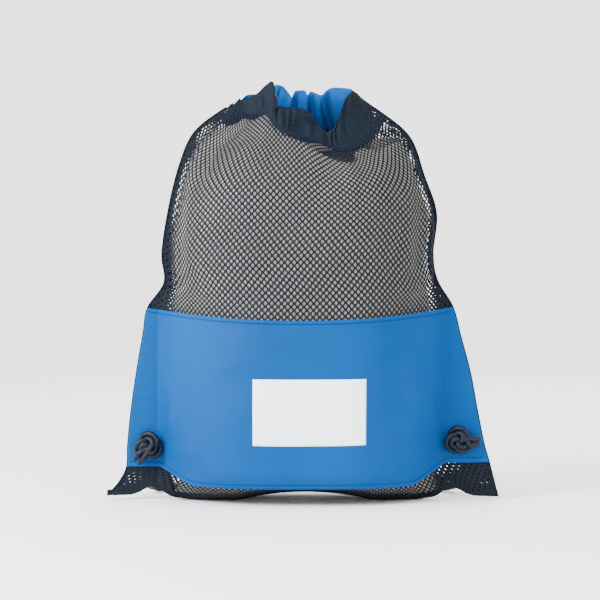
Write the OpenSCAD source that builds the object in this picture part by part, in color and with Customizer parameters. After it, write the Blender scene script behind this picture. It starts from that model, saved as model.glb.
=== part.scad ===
// Drawstring backpack: a mesh bag with a blue front band, drawn shut by two looped cords.
// It stands upright, front towards -Y, with its origin under its middle. Millimetres.

/* [Bag] */
// Depth of the filled front, from the side seam's plane
front_depth = 68; // [60:1:70]
// Depth of the filled back, from the side seam's plane
back_depth = 66; // [56:1:67]
// Thickness of the mesh cloth
mesh_t = 0.8; // [0.6:0.1:1]
// Distance from the side seam's plane to the outer face of each panel at the edge
edge_gap = 2; // [2:0.1:2.4]

/* [Blue cloth] */
// Thickness of the blue band and of the mouth lining
cloth_t = 0.6; // [0.4:0.1:0.8]
// Width of the label
label_w = 98; // [80:1:110]
// Height of the label
label_h = 57; // [40:1:60]

/* [Mouth] */
// Thickness of the folded mesh casing round the mouth
casing_t = 1.2; // [0.8:0.1:1.4]
// Depth of the sag in the front rim
rim_sag = 20; // [10:1:22]

/* [Cords] */
// Diameter of the drawcord
cord_d = 5; // [4:0.5:5]
// Distance between the middles of a cord's two strands in an eyelet
strand_gap = 5.2; // [5.2:0.1:5.4]

/* [Eyelets] */
// Radius of an eyelet's hole
eyelet_r = 5.5; // [5.4:0.1:5.8]
// Outer radius of an eyelet's flange
flange_r = 10; // [9:0.5:11]

/* [Hidden] */

$fn = 48;
navy = "#26324a";
blue = "#1b86d6";

// One row for each level of the bag, from the bottom seam (0) to the rim (14). Each row holds
// the left seam's x and z, the right seam's x and z, half the width that is filled, then for
// the front and the back the height of the middle and its share of the depth.
LX = 0;
LZ = 1;
RX = 2;
RZ = 3;
HALF = 4;
FRONT_Z = 5;
FRONT_D = 6;
BACK_Z = 7;
BACK_D = 8;
rows = [
    [-176, 4, 176, 3, 120, 0, 0, 0, 0],
    [-165, 16, 173, 14, 120, 0, 0.55, 0, 0.55],
    [-158, 30, 168, 34, 120, 12, 0.84, 12, 0.84],
    [-157, 50, 163, 52, 120, 36, 0.95, 36, 0.95],
    [-154, 80, 157, 82, 121, 74, 1, 74, 1],
    [-149, 115, 151, 114, 121, 112, 1, 112, 1],
    [-143, 150, 142, 148, 121, 144, 0.98, 144, 0.98],
    [-139, 173, 135, 174, 120, 163, 0.96, 168, 0.96],
    [-124, 196, 121, 198, 118, 188, 0.93, 192, 0.94],
    [-126, 222, 117, 222, 119, 214, 0.93, 218, 0.94],
    [-120, 262, 120, 258, 118, 250, 0.92, 256, 0.92],
    [-110, 302, 109, 292, 108, 284, 0.84, 290, 0.82],
    [-96, 332, 95, 328, 94, 310, 0.7, 318, 0.66],
    [-66, 355, 62, 355, 64, 331, 0.52, 344, 0.5],
    [-46, 367, 46, 368, 46, 353, 0.4, 364, 0.4],
];
band_row_low = 2;
band_row_high = 7;
liner_row_low = 2.2;
liner_row_high = 11.2;
panel_row_high = 12.8;
casing_row_low = 13;
rim_row = 14;
dip_row_low = 11;

FRONT = -1;
BACK = 1;

// Gap between two layers of cloth
layer_gap = 0.3;
band_face = layer_gap + cloth_t;
label_face = band_face + layer_gap + cloth_t;
channel = cord_d + 2 * layer_gap;

function mix(a, b, t) = a + (b - a) * t;
function clamp(x, low, high) = min(high, max(low, x));
function smooth(x) = let(s = clamp(x, 0, 1)) s * s * (3 - 2 * s);
function unit(v) = v / norm(v);
function bell(x, middle, width) = exp(-pow((x - middle) / width, 2));

// The rows, joined by a smooth curve
function row_at(v) =
    let(
        i = clamp(floor(v), 0, len(rows) - 2),
        t = v - i,
        a = rows[max(0, i - 1)],
        b = rows[i],
        c = rows[i + 1],
        d = rows[min(len(rows) - 1, i + 2)]
    )
    b + 0.5 * t * ((c - a) + t * ((2 * a - 5 * b + 4 * c - d) + t * (3 * b - a - 3 * c + d)));

// How far the cloth stands out at x, from 0 at the filled part's edge to 1 in its middle
function bulge(x, half) = pow(cos(90 * pow(min(1, abs(x) / half), 1.6)), 0.65);

// The underside arches between its two feet, and the corners' seam lifts beside them
function arch(x) = 7 * max(0, 1 - pow((x - 3) / 60, 2));
function corner_lift(x) = 8 * bell(abs(x), 135, 12);

// The rim dips at the front and has a peak at the back
function front_dip(u) = -rim_sag * bell(u, 0.5, 0.28);
function back_peak(u) = 10 * bell(u, -0.5, 0.3) - 3 * bell(u, 0, 0.25);

// A point on the outer face of the front or back: u runs from the left seam (-1) to the right (1)
function skin(u, v, side) =
    let(
        r = row_at(v),
        x = mix(r[LX], r[RX], (u + 1) / 2),
        b = bulge(x, r[HALF]),
        depth = side == FRONT ? front_depth * r[FRONT_D] : back_depth * r[BACK_D],
        middle_z = max(0, side == FRONT ? r[FRONT_Z] : r[BACK_Z]),
        dip = (side == FRONT ? front_dip(u) : back_peak(u)) * smooth((v - dip_row_low) / 2),
        under = max(0, 1 - max(0, v - 1)),
        seam_z = mix(r[LZ], r[RZ], (u + 1) / 2) + corner_lift(x) * under * (1 - v / 2),
        share = min(1, 1.3 * (1 - pow(1 - b, 2)))
    )
    [x, side * (edge_gap + depth * b), mix(seam_z, middle_z + dip + arch(x) * under, share)];

// The outward direction there
function outward(u, v, side) =
    let(
        du = 0.01,
        dv = 0.05,
        low = max(0, v - dv),
        high = min(rim_row, v + dv),
        along = skin(min(1, u + du), v, side) - skin(max(-1, u - du), v, side),
        up = skin(u, high, side) - skin(u, low, side)
    )
    side * unit(cross(up, along));

function lifted(u, v, side, lift) = skin(u, v, side) + lift * outward(u, v, side);

function steps(low, high, n) = [for (i = [0:n]) mix(low, high, i / n)];

// A closed piece of cloth between two lifts off the skin, over a grid of us and vs
module cloth(us, vs, side, low, high) {
    nu = len(us);
    nv = len(vs);
    layer = nu * nv;
    points = [for (lift = [low, high], v = vs, u = us) lifted(u, v, side, lift)];
    rim = concat(
        [for (i = [0:nu - 1]) i],
        [for (j = [1:nv - 1]) j * nu + nu - 1],
        [for (i = [nu - 2:-1:0]) (nv - 1) * nu + i],
        [for (j = [nv - 2:-1:1]) j * nu]
    );
    inner = [for (j = [0:nv - 2], i = [0:nu - 2]) let(a = j * nu + i)
        each [[a, a + nu, a + nu + 1], [a, a + nu + 1, a + 1]]];
    outer = [for (f = inner) [f[2] + layer, f[1] + layer, f[0] + layer]];
    edge = [for (i = [0:len(rim) - 1]) let(a = rim[i], b = rim[(i + 1) % len(rim)])
        each [[a, b, b + layer], [a, b + layer, a + layer]]];
    faces = concat(inner, outer, edge);
    polyhedron(points, side == BACK ? faces : [for (f = faces) [f[2], f[1], f[0]]]);
}

// Where the columns and rows of the large panels lie
panel_us = [-1, -0.93, -0.87, -0.83, -0.79, -0.74, -0.66, -0.54, -0.36, -0.12,
    0.12, 0.36, 0.54, 0.66, 0.74, 0.79, 0.83, 0.87, 0.93, 1];
panel_vs = concat([0, 0.5], steps(1, 12, 22), [12.5, panel_row_high]);

// Middles of the eyelets
eyelet_left = [-138, 0, 49];
eyelet_right = [140, 0, 54];
barrel_wall = 0.7;
barrel_r = eyelet_r + barrel_wall;
flange_t = 0.8;
eyelet_front_y = -(edge_gap + band_face + layer_gap);
eyelet_back_y = edge_gap + layer_gap;

// Turns what stands along Z at a place to lie along Y, with its top towards the back
module along_y(place) {
    translate(place) rotate([-90, 0, 0]) children();
}

module eyelet_holes() {
    for (place = [eyelet_left, eyelet_right])
        along_y(place - [0, 20, 0]) cylinder(r = barrel_r + layer_gap, h = 40);
}

module front_mesh_panel() {
    color(navy) difference() {
        cloth(panel_us, panel_vs, FRONT, -mesh_t, 0);
        eyelet_holes();
    }
}

module back_mesh_panel() {
    color(navy) difference() {
        cloth(panel_us, panel_vs, BACK, -mesh_t, 0);
        eyelet_holes();
    }
}

module front_band() {
    color(blue) difference() {
        cloth(panel_us, steps(band_row_low, band_row_high, 10), FRONT, layer_gap, band_face);
        eyelet_holes();
    }
}

// The label's edges, as shares of the width and as rows
label_x = 6;
label_row_mid_x = 1.5;
label_row_half = 157;
label_half_u = label_w / 2 / label_row_half;
label_mid_u = (label_x - label_row_mid_x) / label_row_half;
label_row_low = 3.5;
label_rows_per_mm = 1 / 38;

module label_patch() {
    us = steps(label_mid_u - label_half_u, label_mid_u + label_half_u, 6);
    vs = steps(label_row_low, label_row_low + label_h * label_rows_per_mm, 4);
    color("#e2f0ee") cloth(us, vs, FRONT, band_face + layer_gap, label_face);
}

// The paper that fills the bag out: a cup of thick paper inside the mesh, open at the top
liner_lift = -4;
liner_t = 3;
liner_us = [-0.72, -0.6, -0.45, -0.25, 0, 0.25, 0.45, 0.6, 0.72];
liner_vs = concat([liner_row_low, 2.6], steps(3, 11, 8), [liner_row_high]);

module paper_liner() {
    loop = concat([for (u = liner_us) [u, FRONT]],
        [for (i = [len(liner_us) - 1:-1:0]) [liner_us[i], BACK]]);
    n = len(loop);
    m = len(liner_vs);
    skins = [for (lift = [liner_lift, liner_lift - liner_t], v = liner_vs, p = loop)
        lifted(p[0] * row_at(v)[HALF] * 2 / (row_at(v)[RX] - row_at(v)[LX]) * 1.2, v, p[1], lift)];
    floor_z = 15;
    outer_floor = [for (i = [0:n - 1]) [skins[i][0], skins[i][1] * 0.85, floor_z]];
    inner_floor = [for (i = [0:n - 1]) let(p = skins[n * m + i]) [p[0], p[1] * 0.85, floor_z + liner_t]];
    points = concat(outer_floor, [for (i = [0:n * m - 1]) skins[i]],
        inner_floor, [for (i = [n * m:2 * n * m - 1]) skins[i]]);
    wall = n * (m + 1);
    outer = [for (j = [0:m - 1], i = [0:n - 1]) let(a = j * n + i, b = j * n + (i + 1) % n)
        each [[a, a + n, b + n], [a, b + n, b]]];
    inner = [for (f = outer) [f[2] + wall, f[1] + wall, f[0] + wall]];
    top = [for (i = [0:n - 1]) let(a = m * n + i, b = m * n + (i + 1) % n)
        each [[a, a + wall, b + wall], [a, b + wall, b]]];
    last = len(liner_us) - 1;
    floor_tris = [for (i = [0:last - 1]) let(a = i, b = i + 1, c = n - 1 - i, d = n - 2 - i)
        each [[a, b, c], [b, d, c]]];
    inner_tris = [for (f = floor_tris) [f[2] + wall, f[1] + wall, f[0] + wall]];
    color("#b5afa5") polyhedron(points, concat(outer, inner, top, floor_tris, inner_tris));
}

// A folded seam allowance: a flat strip in the seam's plane, along a list of outer points
module seam_strip(outside, inside) {
    n = len(outside);
    half = edge_gap - mesh_t - layer_gap;
    points = [for (side = [-1, 1], line = [outside, inside], p = line) [p[0], side * half, p[1]]];
    wall = 2 * n;
    front = [for (i = [0:n - 2]) each [[i, i + 1, n + i + 1], [i, n + i + 1, n + i]]];
    back = [for (f = front) [f[2] + wall, f[1] + wall, f[0] + wall]];
    rim = concat([for (i = [0:n - 1]) i], [for (i = [n - 1:-1:0]) n + i]);
    edge = [for (i = [0:len(rim) - 1]) let(a = rim[i], b = rim[(i + 1) % len(rim)])
        each [[a, a + wall, b + wall], [a, b + wall, b]]];
    polyhedron(points, concat(front, back, edge));
}

seam_w = 8;
seam_inset = 0.4;
seam_vs = concat([0.9], steps(1.5, 12.5, 22));

module left_side_seam() {
    edge = [for (v = seam_vs) let(p = skin(-1, v, FRONT)) [p[0] + seam_inset, p[2]]];
    color(navy) seam_strip([for (p = edge) p + [seam_w, 0]], edge);
}

module right_side_seam() {
    edge = [for (v = seam_vs) let(p = skin(1, v, FRONT)) [p[0] - seam_inset, p[2]]];
    color(navy) seam_strip(edge, [for (p = edge) p - [seam_w, 0]]);
}

bottom_seam_h = 5;

module bottom_seam() {
    edge = [for (u = panel_us) let(p = skin(u * 0.95, 0, FRONT)) [p[0], p[2] + mesh_t + seam_inset]];
    color(navy) seam_strip(edge, [for (p = edge) p + [0, bottom_seam_h]]);
}

// The mouth is in five parts: a sliding front and back, and the two ends that stay
mouth_us = steps(-0.7, 0.7, 14);
mouth_vs = steps(casing_row_low, rim_row, 4);
lining_vs = steps(casing_row_low + 0.3, rim_row, 3);
end_us = steps(0.74, 1, 4);
lining_low = -(casing_t + layer_gap + channel + cloth_t);
lining_high = -(casing_t + layer_gap + channel);

module front_casing() {
    color(navy) cloth(mouth_us, mouth_vs, FRONT, -casing_t, 0);
}

module back_casing() {
    color(navy) cloth(mouth_us, mouth_vs, BACK, -casing_t, 0);
}

module front_lining() {
    color(blue) cloth(mouth_us, lining_vs, FRONT, lining_low, lining_high);
}

module back_lining() {
    color(blue) cloth(mouth_us, lining_vs, BACK, lining_low, lining_high);
}

// An end of the mouth: one folded piece that runs from the front round the seam to the back
module mouth_end(hand, low, high) {
    us = [for (u = end_us) hand * u];
    loop = concat([for (u = us) [u, FRONT]], [for (i = [len(us) - 1:-1:0]) [us[i], BACK]]);
    n = len(loop);
    m = len(mouth_vs);
    function place(p, v, lift) =
        let(s = skin(p[0], v, p[1]), o = outward(p[0], v, p[1]))
        s + lift * unit([o[0] + hand * 0.4, o[1], o[2] * 0.3]);
    points = [for (lift = [low, high], v = mouth_vs, p = loop) place(p, v, lift)];
    wall = n * m;
    rim = concat([for (i = [0:n - 1]) i], [for (j = [1:m - 1]) j * n + n - 1],
        [for (i = [n - 2:-1:0]) (m - 1) * n + i], [for (j = [m - 2:-1:1]) j * n]);
    inner = [for (j = [0:m - 2], i = [0:n - 2]) let(a = j * n + i)
        each [[a, a + n, a + n + 1], [a, a + n + 1, a + 1]]];
    outer = [for (f = inner) [f[2] + wall, f[1] + wall, f[0] + wall]];
    edge = [for (i = [0:len(rim) - 1]) let(a = rim[i], b = rim[(i + 1) % len(rim)])
        each [[a, b, b + wall], [a, b + wall, a + wall]]];
    faces = concat(inner, outer, edge);
    polyhedron(points, hand < 0 ? faces : [for (f = faces) [f[2], f[1], f[0]]]);
}

module left_casing_end() {
    color(navy) mouth_end(-1, -casing_t, 0);
}

module right_casing_end() {
    color(navy) mouth_end(1, -casing_t, 0);
}

module left_lining_end() {
    color(blue) mouth_end(-1, -casing_t - layer_gap - cloth_t, -casing_t - layer_gap);
}

module right_lining_end() {
    color(blue) mouth_end(1, -casing_t - layer_gap - cloth_t, -casing_t - layer_gap);
}

// A round cord along a list of points: each ring faces the way the cord runs there
module tube(route, d) {
    sides = 8;
    n = len(route);
    ahead = [for (i = [0:n - 1]) unit(route[min(n - 1, i + 1)] - route[max(0, i - 1)])];
    rings = [for (i = [0:n - 1], k = [0:sides - 1])
        let(
            a = unit(cross(ahead[i], [0.08, 0.12, 1])),
            b = cross(ahead[i], a),
            turn = 360 * k / sides
        )
        route[i] + d / 2 * (cos(turn) * a + sin(turn) * b)];
    ends = n * sides;
    points = concat(rings, [route[0], route[n - 1]]);
    walls = [for (i = [0:n - 2], k = [0:sides - 1])
        let(a = i * sides + k, b = i * sides + (k + 1) % sides)
        each [[a, b, b + sides], [a, b + sides, a + sides]]];
    start = [for (k = [0:sides - 1]) [ends, (k + 1) % sides, k]];
    stop = [for (k = [0:sides - 1]) let(a = (n - 1) * sides) [ends + 1, a + k, a + (k + 1) % sides]];
    polyhedron(points, concat(walls, start, stop));
}

// The cord's strands inside the casing, one above the other in its channel
casing_cord_us = steps(-0.66, 0.66, 8);
channel_mid = -(casing_t + layer_gap + cord_d / 2);
upper_cord_row = 13.74;
lower_cord_row = 13.4;

module casing_cord(v, side) {
    color(navy) tube([for (u = casing_cord_us) lifted(u, v, side, channel_mid)], cord_d);
}

module front_casing_cord_upper() {
    casing_cord(upper_cord_row, FRONT);
}

module front_casing_cord_lower() {
    casing_cord(lower_cord_row, FRONT);
}

module back_casing_cord_upper() {
    casing_cord(upper_cord_row, BACK);
}

module back_casing_cord_lower() {
    casing_cord(lower_cord_row, BACK);
}

// The shoulder cords: out of the casing's end, down the back, along the floor, up to the eyelet
left_outer_route = [
    [-58, 13, 357], [-61, 20, 354], [-64, 30, 344], [-65, 44, 323], [-63, 55, 292], [-60, 62, 250],
    [-58, 63, 205], [-57, 67, 160], [-57, 70, 115], [-58, 72, 75], [-62, 75, 38], [-70, 80, 14],
    [-84, 86, 4], [-102, 86, 3], [-121, 75, 3], [-136, 54, 5], [-143, 33, 18], [-142, 17, 37],
];
left_inner_route = [
    [-51, 15, 361], [-53, 22, 359], [-56, 34, 348], [-56, 48, 325], [-54, 58, 292], [-51, 65, 250],
    [-49, 66, 205], [-48, 70, 160], [-48, 72, 115], [-49, 74, 75], [-53, 77, 38], [-61, 84, 13],
    [-78, 93, 4], [-102, 94, 3], [-125, 84, 3], [-142, 60, 6], [-145, 39, 25], [-139, 22, 42],
];
right_outer_route = [
    [57, 13, 357], [60, 20, 354], [63, 30, 344], [64, 44, 323], [62, 55, 292], [59, 62, 250],
    [57, 63, 205], [56, 67, 160], [56, 70, 115], [57, 72, 75], [61, 75, 38], [69, 80, 14],
    [83, 86, 4], [102, 86, 3], [122, 75, 3], [138, 54, 6], [147, 33, 21], [146, 18, 42],
];
right_inner_route = [
    [50, 15, 361], [52, 22, 359], [55, 34, 348], [55, 48, 325], [53, 58, 292], [50, 65, 250],
    [48, 66, 205], [47, 70, 160], [47, 72, 115], [48, 74, 75], [52, 77, 38], [60, 84, 13],
    [77, 93, 4], [102, 94, 3], [126, 84, 3], [144, 60, 7], [148, 39, 28], [140, 23, 48],
];
// A strand of the strap starts this far behind the eyelet, so that it can turn there
strap_clearance = 3.9;
washer_back_y = eyelet_back_y + flange_t;
cord_end_y = washer_back_y + strap_clearance;

// The last two points of a strand: straight into the eyelet, on its own side of the hole
function strand_end(place, side) =
    [[place[0] + side * strand_gap / 2, cord_end_y + 4, place[2]],
        [place[0] + side * strand_gap / 2, cord_end_y, place[2]]];

module left_cord_outer() {
    color(navy) tube(concat(left_outer_route, strand_end(eyelet_left, -1)), cord_d);
}

module left_cord_inner() {
    color(navy) tube(concat(left_inner_route, strand_end(eyelet_left, 1)), cord_d);
}

module right_cord_outer() {
    color(navy) tube(concat(right_outer_route, strand_end(eyelet_right, 1)), cord_d);
}

module right_cord_inner() {
    color(navy) tube(concat(right_inner_route, strand_end(eyelet_right, -1)), cord_d);
}

// Eyelet: a flange on the front with a barrel through all the layers
module eyelet(place) {
    length = eyelet_back_y + flange_t - eyelet_front_y;
    color("#1d2430") along_y(place + [0, eyelet_front_y - flange_t, 0]) rotate_extrude($fn = 64) {
        translate([eyelet_r, 0]) square([flange_r - eyelet_r, flange_t]);
        translate([eyelet_r, 0]) square([barrel_wall, flange_t + length]);
    }
}

module eyelet_washer(place) {
    bore = barrel_r + 0.1;
    color("#1d2430") along_y(place + [0, eyelet_back_y, 0]) rotate_extrude($fn = 64)
        translate([bore, 0]) square([flange_r - bore, flange_t]);
}

module left_eyelet() {
    eyelet(eyelet_left);
}

module left_eyelet_washer() {
    eyelet_washer(eyelet_left);
}

module right_eyelet() {
    eyelet(eyelet_right);
}

module right_eyelet_washer() {
    eyelet_washer(eyelet_right);
}

// Knot: a ring and a core for the wound cord, two cut tails, and the strands in the eyelet
knot_ring_r = 7.4;
knot_coil_r = 6.2;
tail_l = 20;

module knot(place, tail_turn) {
    back = eyelet_front_y - flange_t - 0.2;
    middle = back - knot_coil_r;
    color(navy) union() {
        along_y([place[0], middle, place[2]]) {
            rotate_extrude($fn = 64) translate([knot_ring_r, 0]) circle(r = knot_coil_r);
            translate([0, 0, -2]) sphere(r = knot_coil_r);
        }
        for (side = [-1, 1])
            translate([place[0], middle + side * 2, place[2]]) rotate([0, tail_turn + side * 9, 0])
                cylinder(d = cord_d, h = tail_l);
        for (side = [-1, 1])
            along_y([place[0] + side * strand_gap / 2, middle, place[2]])
                cylinder(d = cord_d, h = washer_back_y - middle);
    }
}

module left_knot() {
    knot(eyelet_left, 215);
}

module right_knot() {
    knot(eyelet_right, 97);
}

front_mesh_panel();
back_mesh_panel();
front_band();
label_patch();
paper_liner();
left_side_seam();
right_side_seam();
bottom_seam();
left_casing_end();
right_casing_end();
left_lining_end();
right_lining_end();
front_casing();
front_lining();
front_casing_cord_upper();
front_casing_cord_lower();
back_casing();
back_lining();
back_casing_cord_upper();
back_casing_cord_lower();
left_eyelet();
left_eyelet_washer();
left_knot();
left_cord_outer();
left_cord_inner();
right_eyelet();
right_eyelet_washer();
right_knot();
right_cord_outer();
right_cord_inner();
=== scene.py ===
"""Drawstring backpack: a net bag with a blue front band, filled out with paper, its mouth
gathered open. Lengths are in metres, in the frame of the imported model. Front is towards -Y."""

import bpy
import numpy as np
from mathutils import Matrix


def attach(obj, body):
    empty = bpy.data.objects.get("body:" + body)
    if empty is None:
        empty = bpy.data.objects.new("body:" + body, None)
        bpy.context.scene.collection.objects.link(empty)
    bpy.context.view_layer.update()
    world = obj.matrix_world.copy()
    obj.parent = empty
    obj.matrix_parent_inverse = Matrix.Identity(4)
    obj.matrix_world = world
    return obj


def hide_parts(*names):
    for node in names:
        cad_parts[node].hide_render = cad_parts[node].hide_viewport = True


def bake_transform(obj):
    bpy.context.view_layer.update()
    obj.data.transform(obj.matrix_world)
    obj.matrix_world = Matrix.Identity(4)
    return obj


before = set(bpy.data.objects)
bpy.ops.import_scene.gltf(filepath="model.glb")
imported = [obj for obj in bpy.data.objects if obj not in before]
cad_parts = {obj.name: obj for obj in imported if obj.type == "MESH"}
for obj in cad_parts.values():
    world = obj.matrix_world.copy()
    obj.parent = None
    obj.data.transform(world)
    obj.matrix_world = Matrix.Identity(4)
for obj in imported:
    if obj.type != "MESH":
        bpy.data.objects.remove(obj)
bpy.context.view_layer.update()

MM = 0.001
FRONT, BACK = -1, 1
TAU = 2 * np.pi

# ---------------------------------------------------------------- the bag's own shape
# Each row, from the bottom seam (0) to the rim (14): the left seam's x and z, the right
# seam's x and z, half the filled width, then for the front and the back the height of the
# middle and its share of the depth. The lengths are in millimetres.
ROWS = np.array([
    [-176, 4, 176, 3, 120, 0, 0, 0, 0],
    [-165, 16, 173, 14, 120, 7, 0.55, 0, 0.55],
    [-158, 30, 168, 34, 120, 16, 0.84, 12, 0.84],
    [-157, 50, 163, 52, 120, 36, 0.95, 36, 0.95],
    [-154, 80, 157, 82, 121, 74, 1, 74, 1],
    [-149, 115, 151, 114, 121, 112, 1, 112, 1],
    [-143, 150, 142, 148, 121, 144, 0.98, 144, 0.98],
    [-139, 173, 135, 174, 120, 163, 0.96, 168, 0.96],
    [-124, 196, 121, 198, 118, 188, 0.93, 192, 0.94],
    [-126, 222, 117, 222, 119, 214, 0.93, 218, 0.94],
    [-120, 262, 120, 258, 118, 250, 0.92, 256, 0.92],
    [-110, 302, 109, 292, 108, 284, 0.84, 290, 0.82],
    [-96, 332, 95, 328, 94, 310, 0.7, 318, 0.66],
    [-66, 355, 62, 355, 64, 331, 0.52, 344, 0.5],
    [-46, 367, 46, 368, 46, 353, 0.4, 364, 0.4],
])
DEPTH = {FRONT: 68 * MM, BACK: 66 * MM}
EDGE_GAP = 2 * MM
NET_SAG = 13 * MM
BAND_LOW, BAND_HIGH = 2.0, 7.0
NET_HIGH = 12.8


def smooth(x):
    s = np.clip(x, 0, 1)
    return s * s * (3 - 2 * s)


def bell(x, middle, width):
    return np.exp(-((x - middle) / width) ** 2)


def row_at(v):
    """The rows, joined by a smooth curve."""
    i = np.clip(np.floor(v).astype(int), 0, len(ROWS) - 2)
    t = (v - i)[..., None]
    a, b = ROWS[np.maximum(i - 1, 0)], ROWS[i]
    c, d = ROWS[i + 1], ROWS[np.minimum(i + 2, len(ROWS) - 1)]
    return b + 0.5 * t * ((c - a) + t * ((2 * a - 5 * b + 4 * c - d) + t * (3 * b - a - 3 * c + d)))


def bulge(x, half, reach, flat=0.0):
    """The share of the depth across the bag. Beside flat sides the filling ends softly."""
    t = np.minimum(1, np.abs(x) / np.minimum(half + 9 * MM * flat, reach))
    return np.cos(np.pi / 2 * t ** (1.6 + 0.2 * flat)) ** (0.65 + 0.65 * flat)


def skin(u, v, side, dipped=1):
    """A point on the outer face of the front or the back net: u runs from seam to seam."""
    u, v = np.broadcast_arrays(np.asarray(u, float), np.asarray(v, float))
    r = row_at(v)
    w = (u + 1) / 2
    x = (r[..., 0] + (r[..., 2] - r[..., 0]) * w) * MM
    reach = np.where(x < 0, -r[..., 0], r[..., 2]) * MM
    b = bulge(x, r[..., 4] * MM, reach, 1 - smooth((v - 6.9) / 1.2))
    share = r[..., 6] if side == FRONT else r[..., 8]
    middle = np.maximum(0, r[..., 5] if side == FRONT else r[..., 7]) * MM
    if side == FRONT:
        dip = -NET_SAG * bell(u, 0.5, 0.3)
    else:
        dip = 10 * MM * bell(u, -0.5, 0.3) - 3 * MM * bell(u, 0, 0.25)
    middle = middle + dip * smooth((v - 11) / 2) * dipped
    under = np.maximum(0, 1 - np.maximum(0, v - 1))
    seam = (r[..., 1] + (r[..., 3] - r[..., 1]) * w) * MM
    seam = seam + 8 * MM * bell(np.abs(x), 135 * MM, 12 * MM) * under * (1 - v / 2)
    arch = 7 * MM * np.maximum(0, 1 - ((x - 3 * MM) / (60 * MM)) ** 2)
    mix = np.minimum(1, 1.3 * (1 - (1 - b) ** 2))
    shallow = smooth((v - 2.5) / 1.5) * (1 - smooth((v - 7.2) / 1))
    mix = mix + (1 - u ** 2 - mix) * shallow
    z = seam * (1 - mix) + (middle + arch * under) * mix
    return np.stack([x, side * (EDGE_GAP + DEPTH[side] * share * b), z], -1)


def unit(a):
    return a / np.maximum(np.linalg.norm(a, axis=-1, keepdims=True), 1e-12)


def outward(u, v, side):
    u, v = np.broadcast_arrays(np.asarray(u, float), np.asarray(v, float))
    du, dv = 0.012, 0.06
    along = skin(np.minimum(1, u + du), v, side) - skin(np.maximum(-1, u - du), v, side)
    up = skin(u, np.minimum(14, v + dv), side) - skin(u, np.maximum(0, v - dv), side)
    return side * unit(np.cross(up, along))


# Soft folds in the cloth, each a line from one (x, z) to another with a width and a height,
# in millimetres. A negative height is a valley.
FRONT_FOLDS = [
    (-127, 165, -128, 70, 5, -1.8), (-118, 170, -117, 60, 7, 1.6), (-130, 60, -96, 88, 5, 1.5),
    (-128, 44, -88, 46, 5, 1.3), (-131, 66, -112, 120, 5, -1.2), (-105, 150, -98, 40, 9, 1.1),
    (128, 168, 130, 74, 5, -1.8), (119, 170, 118, 64, 7, 1.6), (130, 64, 94, 92, 5, 1.5),
    (128, 48, 90, 42, 5, 1.4), (131, 72, 112, 122, 5, -1.2), (104, 150, 97, 50, 9, 1.1),
    (-70, 160, -20, 152, 6, -0.9), (30, 158, 90, 150, 6, -0.9), (-60, 128, -10, 120, 8, 0.9),
    (60, 120, 100, 140, 8, -0.8), (-95, 100, -60, 128, 8, 0.8), (-70, 30, 60, 26, 7, 0.8),
    (-110, 200, -112, 290, 6, -2.0), (104, 205, 108, 275, 6, -2.4), (92, 205, 94, 290, 6, 1.6),
    (-96, 205, -100, 300, 8, 1.2), (84, 322, 56, 280, 7, 1.6), (70, 322, 50, 262, 6, -1.4),
    (40, 306, 46, 262, 6, 1.3), (22, 304, 10, 268, 7, -1.2), (-70, 340, -88, 296, 7, -1.2),
    (-48, 340, -60, 300, 6, 1.0), (-20, 330, -28, 290, 7, -0.9), (-120, 186, -96, 205, 5, -1.8),
    (118, 186, 92, 204, 5, -1.8),
]
BACK_FOLDS = [
    (-127, 165, -128, 70, 5, -1.8), (-118, 170, -117, 60, 7, 1.6), (-130, 60, -96, 88, 5, 1.4),
    (128, 168, 130, 74, 5, -1.8), (119, 170, 118, 64, 7, 1.6), (130, 64, 94, 92, 5, 1.4),
    (-110, 200, -112, 290, 6, -2.0), (104, 205, 108, 275, 6, -2.2), (-60, 330, -70, 270, 6, 1.4),
    (60, 330, 66, 262, 6, 1.4), (0, 340, -8, 290, 7, -1.2), (-120, 186, -92, 205, 5, -1.6),
    (118, 186, 90, 204, 5, -1.6), (30, 338, 34, 280, 6, 1.0), (-30, 345, -36, 290, 6, 1.0),
]
rng = np.random.default_rng(11)
LUMPS = {side: np.column_stack([
    rng.uniform(-110, 110, 26), rng.uniform(20, 320, 26), rng.uniform(18, 40, 26), rng.uniform(-1.5, 1.5, 26)
]) * [MM, MM, MM, MM] for side in (FRONT, BACK)}


def fold_relief(x, z, folds):
    total = np.zeros_like(x)
    for x0, z0, x1, z1, width, height in np.array(folds) * MM:
        dx, dz = x1 - x0, z1 - z0
        length2 = dx * dx + dz * dz
        along = ((x - x0) * dx + (z - z0) * dz) / length2
        off = ((x - x0) * dz - (z - z0) * dx) / np.sqrt(length2)
        across = np.exp(-(off / width) ** 2)
        total += height * across * smooth(along * 4 + 0.5) * smooth((1 - along) * 4 + 0.5)
    return total


def relief(u, v, side):
    """How far the folds and the filling push the cloth out."""
    p = skin(u, v, side)
    x, z = p[..., 0], p[..., 2]
    total = fold_relief(x, z, FRONT_FOLDS if side == FRONT else BACK_FOLDS)
    for cx, cz, width, height in LUMPS[side]:
        total += height * np.exp(-((x - cx) ** 2 + (z - cz) ** 2) / width ** 2)
    filled = bulge(x, row_at(np.broadcast_to(v, x.shape))[..., 4] * MM, 1.0)
    loose = smooth(filled * 3)
    edge = 1 - np.abs(np.broadcast_to(u, x.shape))
    pucker = 0.2 * MM * np.sin(TAU * z / (13 * MM) + 1.3 * np.sin(TAU * z / (47 * MM)))
    total = total * (0.25 + 0.75 * loose) + pucker * bell(edge, 0.05, 0.05)
    standing = smooth((np.broadcast_to(v, x.shape) - 1.6) / 0.8)
    return total * standing


def cloth(u, v, side, lift):
    u, v = np.broadcast_arrays(np.asarray(u, float), np.asarray(v, float))
    return skin(u, v, side) + (relief(u, v, side) + lift)[..., None] * outward(u, v, side)


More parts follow.
